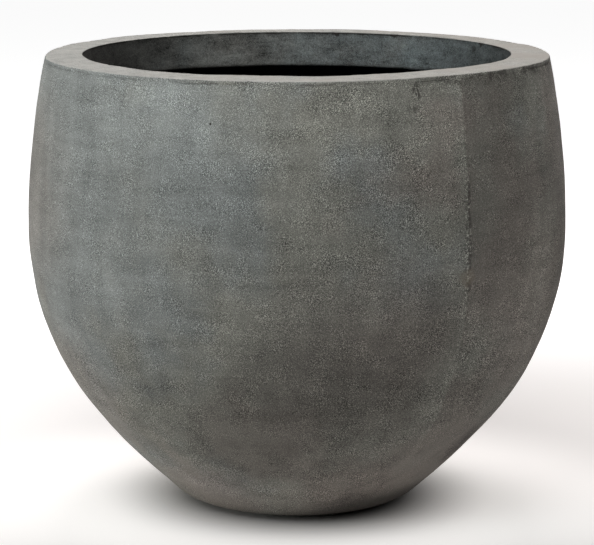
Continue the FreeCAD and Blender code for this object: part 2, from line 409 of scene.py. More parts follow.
def half_grid(side):
    """Points of a half wall in rows, the way each column faces and the normals of the outside.
    At a turn v from the front seam a point of the section is (side r sin v, -r cos v, z)."""
    outer, inner = wall_section()
    section = np.concatenate([outer, inner[::-1]])
    turn = spread(math.pi, TURN_COLUMNS, near_seams)
    sweep = np.stack([side * np.sin(turn), -np.cos(turn), np.zeros_like(turn)], axis=1)
    points = section[:, None, :1] * sweep[None] + section[:, None, 1:] * UPWARD
    tangent = np.gradient(outer, axis=0)
    normal = np.stack([-tangent[:, 1], tangent[:, 0]], axis=1)
    normal /= np.linalg.norm(normal, axis=1)[:, None]
    outward = normal[:, None, :1] * sweep[None] + normal[:, None, 1:] * UPWARD
    return points, sweep, outward.reshape(-1, 3)


print("each half wall is a grid of", OUT_ROWS + IN_ROWS, "by", TURN_COLUMNS, "points")


# %% Half walls
def outside_lift(flat, dents):
    """How far the outside moves along its normal: swell, the seam's groove in its low ridge of filler
    and the dents, all running out at the foot, and the bond line at the top."""
    from_seam = np.abs(flat[:, 0])
    wander = 0.5 + 0.5 * swell(flat * [0, 1, 1], 0.05, 31)
    seam = -GROOVE_DEPTH * hump(from_seam, 0.0, GROOVE_REACH) * np.clip(wander, 0.1, 1.4)
    seam += FILLER_HEIGHT * hump(from_seam, 0.0, FILLER_REACH)
    bond = -joint_depth(flat) * hump(flat[:, 2], WALL_TOP_Z, JOINT_REACH)
    return (outside_swell(flat) + seam + dents) * fade(FOOT_Z, FOOT_Z + 0.02, flat[:, 2]) + bond


def laminate_lift(back):
    """How far the cloth laid inside stands in: two swells, kept off the disc, the strips and the rim."""
    laminate = 0.0005 * swell(back, 0.05, 41) + 0.0003 * swell(back, 0.03, 42)
    laminate *= fade(DISC_TOP_Z, DISC_TOP_Z + 0.02, back[:, 2]) * fade(0.020, 0.045, np.abs(back[:, 0]))
    laminate *= 1 - fade(WALL_TOP_Z - 0.03, WALL_TOP_Z - 0.01, back[:, 2])
    return laminate


def half_wall(name, side, seed):
    """Closed half shell. Its outside moves along the normal, then straight outward by the fullness
    at the place that it has reached, and its inside moves toward the axis."""
    points, sweep, outward = half_grid(side)
    flat = points[:OUT_ROWS].reshape(-1, 3)
    draw = np.random.default_rng(seed)
    rows = draw.integers(8, OUT_ROWS - 40, DENT_COUNT)
    columns = draw.integers(4, TURN_COLUMNS - 4, DENT_COUNT)
    dent_radii = draw.uniform(0.004, 0.011, DENT_COUNT)
    dent_depths = draw.uniform(0.0002, 0.0006, DENT_COUNT)
    dents = -bowls(flat, points[rows, columns], dent_radii, dent_depths)
    flat = flat + outside_lift(flat, dents)[:, None] * outward
    fullness = hand_fullness(flat) * fade(FOOT_Z, FOOT_Z + 0.004, flat[:, 2])
    flat = flat + fullness[:, None] * np.tile(sweep, (OUT_ROWS, 1))
    back = points[OUT_ROWS:].reshape(-1, 3)
    back = back - laminate_lift(back)[:, None] * back * [1, 1, 0] / BELLY_R
    faces, slots = wall_faces()
    return new_piece(name, lifted(np.concatenate([flat, back])), faces, slots=slots)


left_wall = half_wall("left_wall", -1, 51)
right_wall = half_wall("right_wall", 1, 52)

# %% [markdown]
# ## The rim ring
# The broad top and the short skirt inside it are one ring, set on the wall's top edge with a thin lip.
# Its section is a polygon with rounded corners, carried round a full circle.
# The top was rubbed flat by hand, so it dips a little, and its edges have small chips
# where they were knocked. A bevelled lathe shape would give the corners too,
# but not a chip at a chosen place.


# %% Rounded sections
def rounded(corners, radii, spacing, arc_steps=7):
    """Closed line of (radius, height) through a polygon's corners, each corner replaced by an arc
    that touches both its sides, with the straight stretches cut into steps of about spacing."""
    corners = np.array(corners, float)
    ahead = np.roll(corners, -1, axis=0) - corners
    behind = np.roll(corners, 1, axis=0) - corners
    ahead /= np.linalg.norm(ahead, axis=1)[:, None]
    behind /= np.linalg.norm(behind, axis=1)[:, None]
    half = np.arccos(np.clip(np.sum(ahead * behind, axis=1), -1, 1)) / 2
    line = []
    for corner, way_on, way_back, angle, radius in zip(corners, ahead, behind, half, radii):
        if radius <= 0:
            line.append(corner[None])
            continue
        middle = way_on + way_back
        centre = corner + middle / np.linalg.norm(middle) * radius / math.sin(angle)
        first = corner + way_back * radius / math.tan(angle) - centre
        last = corner + way_on * radius / math.tan(angle) - centre
        begin = math.atan2(first[1], first[0])
        sweep = (math.atan2(last[1], last[0]) - begin + math.pi) % (2 * math.pi) - math.pi
        turn = begin + sweep * np.linspace(0, 1, arc_steps)
        line.append(centre + radius * np.stack([np.cos(turn), np.sin(turn)], axis=1))
    parts = []
    for part, following in zip(line, line[1:] + line[:1]):
        gap = following[0] - part[-1]
        steps = max(1, round(np.linalg.norm(gap) / spacing))
        share = np.linspace(0, 1, steps + 1)[1:-1, None]
        parts += [part, part[-1] + gap * share]
    return np.concatenate(parts)


def section_normals(section):
    """Unit normals of a closed section, from each point's two neighbours, to the right of its way round."""
    tangent = np.roll(section, -1, axis=0) - np.roll(section, 1, axis=0)
    normal = np.stack([tangent[:, 1], -tangent[:, 0]], axis=1)
    return normal / np.linalg.norm(normal, axis=1)[:, None]


def turned_grid(section, columns):
    """Points and outward directions of a closed section carried round the axis in equal steps."""
    turn = np.linspace(0, 2 * math.pi, columns, endpoint=False)
    sweep = np.stack([np.cos(turn), np.sin(turn), 0 * turn], axis=1)
    normal = section_normals(section)
    points = section[:, None, :1] * sweep[None] + section[:, None, 1:] * UPWARD
    outward = normal[:, None, :1] * sweep[None] + normal[:, None, 1:] * UPWARD
    return points.reshape(-1, 3), outward.reshape(-1, 3)


# %% Rim ring
RIM_COLUMNS = 760
neck_centre, neck_radius = ARCS[0][0], ARCS[0][1]


def neck_r(height, inset):
    """Radius of the neck at a height, set in from the outside."""
    return neck_centre[0] + math.sqrt((neck_radius - inset) ** 2 - (height - neck_centre[1]) ** 2)


skirt_slope = SKIRT_DRAFT / SKIRT_DEPTH
flange_under_z = RIM_Z - RIM_THICKNESS
skirt_low_z = RIM_Z - SKIRT_DEPTH
skirt_low_r = MOUTH_R - SKIRT_DRAFT
skirt_out_r = MOUTH_R + SKIRT_WALL
spigot_r = neck_r(WALL_TOP_Z, WALL) - BOND_GAP
rim_corners = [
    (skirt_low_r, skirt_low_z),
    (skirt_out_r - skirt_slope * (flange_under_z - skirt_low_z), skirt_low_z),
    (skirt_out_r, flange_under_z),
    (spigot_r, flange_under_z),
    (spigot_r, WALL_TOP_Z),
    (neck_r(WALL_TOP_Z, 0.0), WALL_TOP_Z),
    (RIM_R, RIM_EDGE_Z),
    (MOUTH_R, RIM_Z),
]
rim_radii = [0.003, 0.003, 0.007, 0.0, 0.0, 0.0003, 0.0017, 0.0012]
rim_section = rounded(rim_corners, rim_radii, 0.0021)
rim_points, rim_outward = turned_grid(rim_section, RIM_COLUMNS)
print("rim section has", len(rim_section), "points")

# %% Chips and lift of the rim
draw = np.random.default_rng(61)
nick_centres = [on_ring(MOUTH_R, RIM_Z, 180 - degrees) for degrees in (11.4, 29.0, 62.8)]
chip_centres = list(nick_centres)
chip_radii = [0.005, 0.004, 0.005]
chip_depths = [0.0020, 0.0014, 0.0016]
for ring_r, ring_z, count in ((RIM_R, RIM_EDGE_Z, 14), (MOUTH_R, RIM_Z, 10), (skirt_low_r, skirt_low_z, 6)):
    for bearing in draw.uniform(0, 360, count):
        chip_centres.append(on_ring(ring_r, ring_z, bearing))
        chip_radii.append(draw.uniform(0.0025, 0.005))
        chip_depths.append(draw.uniform(0.0003, 0.0008))
rim_lift = outside_swell(rim_points) - bowls(rim_points, chip_centres, chip_radii, chip_depths)
rim_lift += 0.00003 * swell(rim_points, 0.009, 62)
at_bond = (rim_points[:, 0] ** 2 + rim_points[:, 1] ** 2 > (RIM_R - 0.004) ** 2)
rim_lift -= at_bond * joint_depth(rim_points) * hump(rim_points[:, 2], WALL_TOP_Z, JOINT_REACH)
hidden = (rim_outward[:, 2] < -0.9) & (rim_points[:, 2] > flange_under_z - 0.002)
rim_points += np.where(hidden, 0, rim_lift)[:, None] * rim_outward
rim_r = np.hypot(rim_points[:, 0], rim_points[:, 1])
lip_share = hand_fullness(rim_points) * fade(RIM_R - 0.008, RIM_R - 0.002, rim_r)
rim_points[:, :2] *= (1 + lip_share / rim_r)[:, None]
rim = new_piece("rim", lifted(rim_points), [grid_faces(len(rim_section), RIM_COLUMNS, True, True)])

# %% [markdown]
# ## The base disc
# A flat disc closes the bottom from inside, with one drain hole. It is cast face down on a board,
# so its edge is crisp and its upper face shows the trowel. The same turned section does it,
# with a gentle swell.

# %% Base disc
DISC_COLUMNS = 240
disc_r = FOOT_FLAT_R - 0.001
disc_corners = [
    (DRAIN_R, DISC_LOW_Z),
    (disc_r, DISC_LOW_Z),
    (disc_r, DISC_TOP_Z),
    (DRAIN_R, DISC_TOP_Z),
]
disc_section = rounded(disc_corners, [0.0015, 0.0, 0.002, 0.0004], 0.0025)
disc_points = turned_grid(disc_section, DISC_COLUMNS)[0]
upper_face = (disc_points[:, 2] > DISC_TOP_Z - 0.001) * fade(0.026, 0.05, np.hypot(*disc_points[:, :2].T))
trowelled = 0.0004 * swell(disc_points, 0.07, 71) + 0.00015 * swell(disc_points, 0.015, 72)
disc_points[:, 2] += upper_face * trowelled
base = new_piece("base", disc_points, [grid_faces(len(disc_section), DISC_COLUMNS, True, True)])

# %% [markdown]
# ## The seam strips
# Inside, a band of glass cloth wetted with resin lies over each joint of the halves.
# Its edges are feathered and never quite straight. The band is a loop across its width,
# carried up the wall: the outer side follows the wall, and the inner side stands off by a thickness
# that runs out at the edges. A Solidify modifier would leave the same thickness everywhere.

# %% Seam strips
STRIP_ROWS, STRIP_ACROSS = 260, 41
STRIP_TOP_Z = flange_under_z - 0.005
STRIP_LOW_Z = DISC_TOP_Z + 0.006


def seam_strip(name, facing, seed):
    """Closed band: across it runs t from -1 to 1, x = t times a wandering half width, and
    y = sqrt(r^2 - x^2) on the wall's inner form at each height."""
    line = wall_line(WALL + BOND_GAP, STRIP_TOP_Z)
    line = line[line[:, 1] > STRIP_LOW_Z]
    length = lengths_along(line)[-1]
    s = np.linspace(0, length, STRIP_ROWS)
    under = resample(line, s)
    tangent = np.gradient(under, axis=0)
    inward = np.stack([tangent[:, 1], -tangent[:, 0]], axis=1)
    inward /= np.linalg.norm(inward, axis=1)[:, None]
    t = np.linspace(-1, 1, STRIP_ACROSS)
    rows = np.stack([0 * s, 0 * s, s], axis=1)
    edge = STRIP_WIDTH / 2 + 0.0011 * swell(rows, 0.05, seed) + 0.0006 * swell(rows, 0.012, seed + 1)
    x = t[None] * edge[:, None]
    thick = STRIP_THICKNESS * (0.12 + 0.80 * (1 - np.abs(t[None]) ** 5))
    grid = np.stack([x, 0 * x, s[:, None] + 0 * x], axis=-1).reshape(-1, 3)
    crown = (1 - t[None] ** 2).repeat(STRIP_ROWS, 0).ravel()
    uneven = 1 + 0.10 * swell(grid, 0.03, seed + 2) * crown
    thick = thick * uneven.reshape(STRIP_ROWS, STRIP_ACROSS)

    def layer(offset):
        """One side of the band, standing off the wall's inner form by offset."""
        r = under[:, :1] + inward[:, :1] * offset
        z = under[:, 1:] + inward[:, 1:] * offset
        y = facing * np.sqrt(r**2 - x**2)
        return np.stack([x, y, z], axis=-1)

    points = np.concatenate([layer(thick), layer(0 * thick)[:, ::-1]], axis=1)
    around = 2 * STRIP_ACROSS
    faces = [grid_faces(STRIP_ROWS, around, False, True)]
    k = np.arange(STRIP_ACROSS - 1)
    end = np.stack([k, k + 1, around - 2 - k, around - 1 - k], axis=1)
    faces.append(np.concatenate([end, end[:, ::-1] + (STRIP_ROWS - 1) * around]))
    across = np.concatenate([x, x[:, ::-1]], axis=1)
    uv = np.stack([across, np.broadcast_to(s[:, None], across.shape)], axis=-1).reshape(-1, 2)
    return new_piece(name, lifted(points.reshape(-1, 3)), faces, uv=uv)


front_strip = seam_strip("front_strip", -1, 81)
back_strip = seam_strip("back_strip", 1, 91)

# %% [markdown]
# ## The drain plug and the floor pads
# Both are small rubber mouldings. Their sections touch the axis, so the first and last points of the section
# become poles, closed with fans of triangles. Fine rings on the plug's cap and on the pads give the grip
# that such mouldings have. Cylinders with bevels would be shorter to write, but have no rings.


# %% Rubber mouldings
def turned_solid(name, section, columns, centres):
    """Solid of revolution of an open section that begins and ends on the axis, once at each centre."""
    turn = np.linspace(0, 2 * math.pi, columns, endpoint=False)
    sweep = np.stack([np.cos(turn), np.sin(turn), 0 * turn], axis=1)
    body = section[1:-1]
    ring = (body[:, None, :1] * sweep[None] + body[:, None, 1:] * UPWARD).reshape(-1, 3)
    poles = np.stack([section[0, 1] * UPWARD, section[-1, 1] * UPWARD])
    single = np.concatenate([ring, poles])
    quads = grid_faces(len(body), columns, False, True)
    j = np.arange(columns)
    on = (j + 1) % columns
    last = (len(body) - 1) * columns
    first_fan = np.stack([0 * j + len(ring), on, j], axis=1)
    last_fan = np.stack([0 * j + len(ring) + 1, last + j, last + on], axis=1)
    fans = np.concatenate([first_fan, last_fan])
    points = np.concatenate([single + centre for centre in centres])
    offsets = np.arange(len(centres)) * len(single)
    quads = np.concatenate([quads + offset for offset in offsets])
    fans = np.concatenate([fans + offset for offset in offsets])
    return new_piece(name, points, [quads, fans])


# %% Drain plug
BEYOND_AXIS, NEAR_AXIS = -0.001, 0.0002
PLUG_COLUMNS = 160
CAP_RING_SPACING, CAP_RING_HEIGHT = 0.0030, 0.0003
PLUG_TIP_R, PLUG_R, CAP_R, STEM_R, KNOB_R = 0.01372, 0.01492, 0.0225, 0.006, 0.0095
PLUG_LOW_Z = DISC_TOP_Z - 0.013
PLUG_STRAIGHT_Z = DISC_LOW_Z + 0.0015
CAP_TOP_Z = DISC_TOP_Z + 0.005
STEM_TOP_Z = DISC_TOP_Z + 0.0135
KNOB_LOW_Z = DISC_TOP_Z + 0.017
KNOB_TOP_Z = DISC_TOP_Z + 0.025
plug_corners = [
    (BEYOND_AXIS, PLUG_LOW_Z),
    (PLUG_TIP_R, PLUG_LOW_Z),
    (PLUG_R, PLUG_STRAIGHT_Z),
    (PLUG_R, DISC_TOP_Z),
    (CAP_R, DISC_TOP_Z),
    (CAP_R, CAP_TOP_Z),
    (STEM_R, CAP_TOP_Z),
    (STEM_R, STEM_TOP_Z),
    (KNOB_R, KNOB_LOW_Z),
    (KNOB_R, KNOB_TOP_Z),
    (BEYOND_AXIS, KNOB_TOP_Z),
]
plug_radii = [0, 0.0012, 0.0004, 0, 0.0005, 0.0018, 0.0016, 0.0012, 0.001, 0.0032, 0]
plug_section = rounded(plug_corners, plug_radii, 0.0006)
plug_section = plug_section[plug_section[:, 0] > NEAR_AXIS]
on_cap = (plug_section[:, 1] > DISC_TOP_Z + 0.0045) & (plug_section[:, 1] < DISC_TOP_Z + 0.0055)
cap_rings = np.cos(2 * math.pi * plug_section[:, 0] / CAP_RING_SPACING)
plug_section[:, 1] += on_cap * CAP_RING_HEIGHT * cap_rings
ends = np.array([[0, PLUG_LOW_Z], [0, KNOB_TOP_Z]])
plug_section = np.concatenate([ends[:1], plug_section, ends[1:]])
plug = turned_solid("plug", plug_section, PLUG_COLUMNS, [np.zeros(3)])

# %% Floor pads
PAD_RING_R = FOOT_FLAT_R - FOOT_FLANGE_WIDTH / 2
PAD_R = 0.014
PAD_COLUMNS = 96
PAD_RING_SPACING, PAD_RING_HALF_DEPTH = 0.0035, 0.00025
pad_corners = [(BEYOND_AXIS, 0), (PAD_R, 0), (PAD_R, FOOT_Z), (BEYOND_AXIS, FOOT_Z)]
pad_line = rounded(pad_corners, [0, 0.0006, 0.0003, 0], 0.0006)
pad_line = pad_line[pad_line[:, 0] > NEAR_AXIS]
underside = pad_line[:, 1] < 0.0002
pad_rings = 1 - np.cos(2 * math.pi * (PAD_R - pad_line[:, 0]) / PAD_RING_SPACING)
pad_line[:, 1] += underside * PAD_RING_HALF_DEPTH * pad_rings
pad_line = np.concatenate([[[0, 0]], pad_line, [[0, FOOT_Z]]])
pad_turns = np.radians([45, 135, 225, 315])
pad_centres = PAD_RING_R * np.stack([np.cos(pad_turns), np.sin(pad_turns), 0 * pad_turns], axis=1)
pads = turned_solid("pads", pad_line, PAD_COLUMNS, pad_centres)

# %% [markdown]
# ## Pieces on their bodies
# The pot is one body. The plug is another, because it lifts out. Each piece rides its body, and the solid
# that it stands for is hidden.

# %% Ride and replace
for piece, node, body, slot in (
    (left_wall, "left_shell", "pot", "left_shell_clay"),
    (right_wall, "right_shell", "pot", "right_shell_clay"),
    (rim, "rim_ring", "pot", "rim_clay"),
    (base, "base_disc", "pot", "base_coat"),
    (front_strip, "front_seam_strip", "pot", "seam_laminate"),
    (back_strip, "back_seam_strip", "pot", "seam_laminate"),
    (plug, "drain_plug", "plug", "plug_rubber"),
    (pads, "floor_pads", "pot", "pad_rubber"),
):
    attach(piece, body)
    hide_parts(node)

# %% [markdown]
# ## Writing shaders as sums
# A small class wraps one output of a node, so that adding and multiplying it in Python adds Math nodes.
# It keeps a finish readable as a formula. Colours go through Mix and Vector Math,
# which keep their three parts.


# %% A socket that does sums
class Paint:
    """One output of a node in a material. Python's operators on it add Math nodes."""

    def __init__(self, tree, socket):
        self.tree = tree
        self.socket = socket

    def node(self, kind, settings, inputs, out=0):
        """Adds a node of this type: settings first, then a value or a Paint on each socket."""
        made = self.tree.nodes.new(kind)
        for key, value in settings.items():
            setattr(made, key, value)
        for key, value in inputs.items():
            if isinstance(value, Paint):
                self.tree.links.new(value.socket, made.inputs[key])
            else:
                made.inputs[key].default_value = value
        return Paint(self.tree, made.outputs[out])

    def maths(self, operation, first, second):
        """A Math node on two values."""
        return self.node("ShaderNodeMath", {"operation": operation}, {0: first, 1: second})

    def __add__(self, other):
        return self.maths("ADD", self, other)

    def __sub__(self, other):
        return self.maths("SUBTRACT", self, other)

    def __rsub__(self, other):
        return self.maths("SUBTRACT", other, self)

    def __mul__(self, other):
        return self.maths("MULTIPLY", self, other)

    __radd__ = __add__
    __rmul__ = __mul__

    def size(self):
        """The value without its sign."""
        return self.maths("ABSOLUTE", self, 0.0)

    def rise(self, low, high):
        """Smooth step from 0 at low to 1 at high, or down where low is the larger."""
        inputs = {"Value": self, "From Min": low, "From Max": high}
        return self.node("ShaderNodeMapRange", {"interpolation_type": "SMOOTHSTEP"}, inputs)

    def part(self, axis):
        """One coordinate of a vector: 0, 1 or 2."""
        return self.node("ShaderNodeSeparateXYZ", {}, {"Vector": self}, axis)

    def far_from(self, point):
        """Distance of a place from a point."""
        inputs = {0: self, 1: tuple(float(v) for v in point)}
        return self.node("ShaderNodeVectorMath", {"operation": "DISTANCE"}, inputs, "Value")

    def dot(self, way):
        """How far a place lies along a direction."""
        inputs = {0: self, 1: tuple(float(v) for v in way)}
        return self.node("ShaderNodeVectorMath", {"operation": "DOT_PRODUCT"}, inputs, "Value")

    def moved(self, point):
        """The place measured from a point instead of the origin."""
        inputs = {0: self, 1: tuple(float(v) for v in point)}
        return self.node("ShaderNodeVectorMath", {"operation": "SUBTRACT"}, inputs)

    def stretched(self, scale):
        """The place with each coordinate multiplied, so that a pattern is drawn out along an axis."""
        return self.node("ShaderNodeVectorMath", {"operation": "MULTIPLY"}, {0: self, 1: scale})

    def cloud(self, scale, detail=3.0, rough=0.5):
        """Soft noise around one half, with this many features in a metre."""
        inputs = {"Vector": self, "Scale": scale, "Detail": detail, "Roughness": rough}
        return self.node("ShaderNodeTexNoise", {}, inputs)

    def cells(self, scale):
        """Distance from the nearest of scattered points, with this many in a metre along a line."""
        return self.node("ShaderNodeTexVoronoi", {}, {"Vector": self, "Scale": scale})

    def toned(self, amount):
        """A colour made lighter or darker by a factor."""
        return self.node("ShaderNodeVectorMath", {"operation": "SCALE"}, {0: self, "Scale": amount})


# %% Mixing and finishing
def mixed(factor, first, second):
    """A colour between two others."""
    inputs = {0: factor, 6: first, 7: second}
    return factor.node("ShaderNodeMix", {"data_type": "RGBA"}, inputs, 2)


def new_finish(name):
    """A material with a Principled shader: the material, its shader node and the object's own coordinates."""
    material = bpy.data.materials.new(name)
    material.use_nodes = True
    tree = material.node_tree
    shader = tree.nodes["Principled BSDF"]
    coordinates = tree.nodes.new("ShaderNodeTexCoord")
    return material, shader, Paint(tree, coordinates.outputs["Object"])


def finish_with(shader, colour, roughness, height, distance):
    """Links a colour, a roughness and a bump to a shader. A height of 1 stands for distance in metres."""
    tree = shader.id_data
    relief = {"Strength": 1.0, "Distance": distance, "Height": height}
    bump = colour.node("ShaderNodeBump", {}, relief, "Normal")
    for paint, key in ((colour, "Base Color"), (roughness, "Roughness"), (bump, "Normal")):
        tree.links.new(paint.socket, shader.inputs[key])


# %% [markdown]
# ## Fibre clay
# The outside is stone powder in resin, rubbed down and waxed: clouds of blue-grey, green-grey and brown-grey
# over each other, a fine sandy grain, scattered pits and a few darker smudges. An image texture would stretch
# over the ball, so the fine colour comes from noise in space, and the dozen broadest clouds from a short list
# of places. Besides their tint, these broad clouds carry painted light and painted shade. The upper wall is
# painted lighter as painted light, and the lower wall and the foot are painted darker as painted shade. The
# seam is a broken dark line, with a painted highlight along its ridge lower down. On its right the clay is
# warmer, where the filler was stained to match, and on its left the edge is chipped over the belly.

# %% Colours of the clay
BLUE_GREY = (0.176, 0.190, 0.185, 1.0)
GREEN_GREY = (0.189, 0.190, 0.167, 1.0)
BROWN_GREY = (0.186, 0.169, 0.150, 1.0)
RED_GREY = (0.200, 0.166, 0.147, 1.0)
FILLER_BROWN = (0.200, 0.168, 0.128, 1.0)
DARK_CLAY = (0.060, 0.055, 0.049, 1.0)
SEALER = (0.020, 0.015, 0.012, 1.0)
PAINTED_TOP_LIGHT_CLAY = (0.566, 0.572, 0.536, 1.0)
SKIRT_BLUE = (0.215, 0.252, 0.256, 1.0)
SKIRT_BROWN = (0.222, 0.222, 0.206, 1.0)
RIM_BROWN = (0.430, 0.408, 0.372, 1.0)
# Each cloud: bearing to the right in degrees, height and reach in metres, change of brightness, and tint. The
# change of brightness is painted light where it is positive and painted shade where it is negative.
LIGHT_SHADE_AND_TINT_CLOUDS = (
    (-26, 0.48, 0.18, 0.16, BLUE_GREY),
    (-44, 0.37, 0.15, 0.08, BLUE_GREY),
    (-66, 0.16, 0.15, 0.28, BROWN_GREY),
    (-80, 0.40, 0.19, 0.08, BROWN_GREY),
    (-36, 0.04, 0.10, 0.10, RED_GREY),
    (-10, 0.12, 0.12, -0.32, BROWN_GREY),
    (11, 0.22, 0.17, -0.26, BROWN_GREY),
    (24, 0.27, 0.11, -0.14, BROWN_GREY),
    (56, 0.30, 0.13, 0.18, BROWN_GREY),
    (82, 0.27, 0.12, -0.28, BROWN_GREY),
    (61, 0.055, 0.17, -0.57, RED_GREY),
    (20, 0.05, 0.12, -0.14, RED_GREY),
)
print(len(LIGHT_SHADE_AND_TINT_CLOUDS), "broad clouds on the wall")


# %% Clouded clay
def clay_colour(spot, warmth, clouds=()):
    """The clouded colour of the clay without its marks, and its two grains. warmth raises the share of brown,
    and each broad cloud adds its own tint, with painted light where it brightens and painted shade where it
    darkens, around a place on the wall."""
    drift = spot.dot(RIGHTWARD)
    low_down = spot.part(2).rise(0.36, 0.20)
    first = (spot.cloud(7.0, 4.0, 0.55) + 0.70 * drift + 0.12 * low_down).rise(0.34, 0.62)
    third = (spot.cloud(9.0, 3.0, 0.5) + 0.40 * drift).rise(0.60 - warmth, 0.84 - warmth)
    colour = mixed(first, BLUE_GREY, GREEN_GREY)
    colour = mixed(third * 0.85, colour, BROWN_GREY)
    # Each cloud mixes in its tint and paints light where its change is positive and shade where it is
    # negative.
    for bearing, height, reach, painted_light_shade, tint in clouds:
        away = spot.far_from(on_wall(height, bearing)) + 0.10 * (spot.cloud(11.0, 4.0, 0.6) - 0.5)
        share = away.rise(reach, 0.2 * reach)
        colour = mixed(share * 0.6, colour, tint).toned(1.0 + painted_light_shade * share)
    wide = spot.stretched((1.0, 1.0, 0.8)).cloud(13.0, 2.0, 0.6)
    drawn_up = spot.stretched((1.0, 1.0, 0.30)).cloud(46.0, 1.5, 0.5)
    drawn_round = spot.stretched((0.35, 0.35, 1.3)).cloud(40.0, 1.5, 0.5)
    wiped = spot.stretched((0.11, 0.11, 1.0)).cloud(105.0, 1.0, 0.5)
    fine = spot.cloud(300.0, 1.0, 0.6)
    sand = spot.cloud(1000.0, 0.0)
    sandy = 1.5 + 2.0 * spot.stretched((1.0, 1.0, 1.5)).cloud(34.0, 3.0, 0.6).rise(0.36, 0.68)
    sandy = sandy * (1.0 + 0.5 * drift.rise(-0.20, 0.28) + 0.45 * spot.part(2).rise(0.30, 0.14))
    tone = 0.50 * (wide - 0.5) + 0.50 * (drawn_up - 0.5) + 0.55 * (drawn_round - 0.5) + 0.26 * (wiped - 0.5)
    grit = (sand - 0.5) * (0.2 + 1.6 * sand)
    tone = 0.94 + tone + 0.05 * (fine - 0.5) + sandy * grit
    return colour.toned(tone), fine, sand


def mouth_lift(spot):
    """How far a place at the mouth was raised by lifted."""
    rightward, toward = spot.dot(RIGHTWARD), spot.dot(TOWARD)
    return MOUTH_LIFT * rightward.rise(LIFT_BEGINS, LIFT_FULL) * toward.rise(LIFT_BEGINS, LIFT_FULL)


def pits_in(spot, scale, share):
    """Mask of scattered round pits: the smallest distances to cell points, in patches only."""
    patch = spot.cloud(scale / 6, 2.0).rise(0.62 - share, 0.70 - share)
    return spot.cells(scale).rise(0.16, 0.06) * patch


# %% Marks on the wall
CLAY_SHINE = 0.35
# Heights in metres between which a mark, the painted light or the painted shade comes in or runs out.
TOP_LIGHT_Z = 0.42, 0.54
LOW_SHADE_LOW_Z, LOW_SHADE_HIGH_Z = (0.03, 0.10), (0.30, 0.17)
DUSTY_Z = 0.22, 0.06
STAIN_Z = 0.24, 0.35
LINE_Z, FAINT_LINE_Z = (0.25, 0.34), (0.42, 0.48)
CHIPPED_LOW_Z, CHIPPED_HIGH_Z = (0.28, 0.33), (0.48, 0.42)
HIGHLIGHT_LOW_Z, HIGHLIGHT_HIGH_Z = (0.06, 0.12), (0.34, 0.26)
UNRUBBED_Z, UNRUBBED_RIGHT_Z = (0.30, 0.12), (0.46, 0.36)
FILLER_PATCH = on_wall(0.330, 36.0)
TALL_SMUDGE = on_wall(0.548, 25.6)
WIDE_SMUDGE = on_wall(0.530, 24.4)
WALL_PIT = on_wall(0.514, -17.8)


def painted_light_shade_and_dust(spot, colour):
    """A colour with painted light, paler toward the top of the wall, and painted shade, darker on the lower
    wall, and browner near the foot. Returns the share of painted top light as well."""
    height_at = spot.part(2)
    painted_top_light = (height_at + 0.06 * (spot.cloud(8.0, 4.0) - 0.5)).rise(*TOP_LIGHT_Z)
    painted_low_shade = height_at.rise(*LOW_SHADE_HIGH_Z) * height_at.rise(*LOW_SHADE_LOW_Z)
    # Painted light and shade: the upper wall is painted paler and the lower wall darker.
    colour = colour.toned(1.0 + 0.33 * painted_top_light - 0.31 * painted_low_shade)
    patches = spot.stretched((1.0, 1.0, 0.6)).cloud(15.0, 3.0, 0.6).rise(0.36, 0.62)
    dusty = height_at.rise(*DUSTY_Z) * patches
    return mixed(dusty * 0.6, colour, BROWN_GREY), painted_top_light


def seam_marks(spot, colour, painted_top_light):
    """A colour with the seam on it: the warm stain on its right, the broken dark line, the chipped edge
    on its left with a patch of filler, and a painted highlight along the ridge lower down. Returns the line
    as well."""
    across, height_at = spot.part(0), spot.part(2)
    wander = spot.stretched((0.0, 1.0, 1.0)).cloud(14.0, 4.0, 0.65)
    edge = across + 0.012 * (wander - 0.5) + 0.004 * (spot.cloud(90.0, 3.0) - 0.5)
    stain = edge.rise(-0.003, 0.003) * across.rise(0.16, 0.04) * height_at.rise(*STAIN_Z)
    colour = mixed(stain * 0.30, colour, BROWN_GREY)
    colour = colour.toned(1.0 - stain * (0.16 + 0.08 * painted_top_light))
    line = edge.size().rise(0.0032, 0.0010) * spot.cloud(95.0, 3.0, 0.6).rise(0.44, 0.54)
    line = line * height_at.rise(*LINE_Z) * (1.0 - 0.6 * height_at.rise(*FAINT_LINE_Z))
    colour = mixed(line * 0.85, colour, DARK_CLAY)
    crumbs = spot.cloud(320.0, 1.0)
    chipped = edge.rise(-0.010, -0.003) * edge.rise(0.003, 0.0)
    chipped = chipped * height_at.rise(*CHIPPED_LOW_Z) * height_at.rise(*CHIPPED_HIGH_Z)
    colour = mixed(chipped * crumbs.rise(0.48, 0.38) * 0.8, colour, DARK_CLAY)
    colour = colour.toned(1.0 + 0.8 * chipped * crumbs.rise(0.54, 0.66))
    filler = (spot.far_from(FILLER_PATCH) + 0.012 * (spot.cloud(110.0, 3.0) - 0.5)).rise(0.015, 0.006)
    colour = mixed(filler * 0.45, colour, FILLER_BROWN)
    # Painted highlight: a pale band along the seam's ridge lower down, where light catches it.
    ridge = edge.rise(-0.012, -0.004) * edge.rise(0.002, -0.002)
    ridge = ridge * height_at.rise(*HIGHLIGHT_HIGH_Z) * height_at.rise(*HIGHLIGHT_LOW_Z)
    return colour.toned(1.0 + 0.14 * ridge), line


